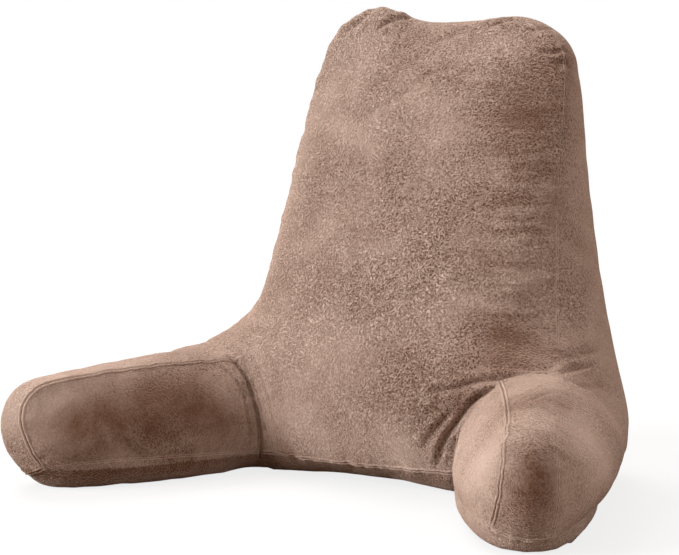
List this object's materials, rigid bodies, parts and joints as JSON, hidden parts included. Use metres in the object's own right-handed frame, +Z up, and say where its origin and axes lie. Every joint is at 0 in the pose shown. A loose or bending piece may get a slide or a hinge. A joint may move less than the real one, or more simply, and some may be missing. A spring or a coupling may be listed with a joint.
{
  "type": "reading pillow with arms",
  "caption": "Stuffed velvet backrest with two padded arms, to sit up against while reading in bed.",
  "frame": {"origin": "on the floor, under the middle of the pillow's box", "axes": "+X to the right seen from the front, the front and the arms face -Y, +Z up; symmetric about X = 0"},
  "size_m": [0.8396, 0.609, 0.6386],
  "materials": {
    "backrest": "brown-taupe short-pile velvet",
    "arm_left": "brown-taupe short-pile velvet",
    "arm_right": "brown-taupe short-pile velvet"
  },
  "bodies": {
    "root": {"backrest": "backrest", "arm_left": "arm_left", "arm_right": "arm_right"}
  },
  "joints": []
}
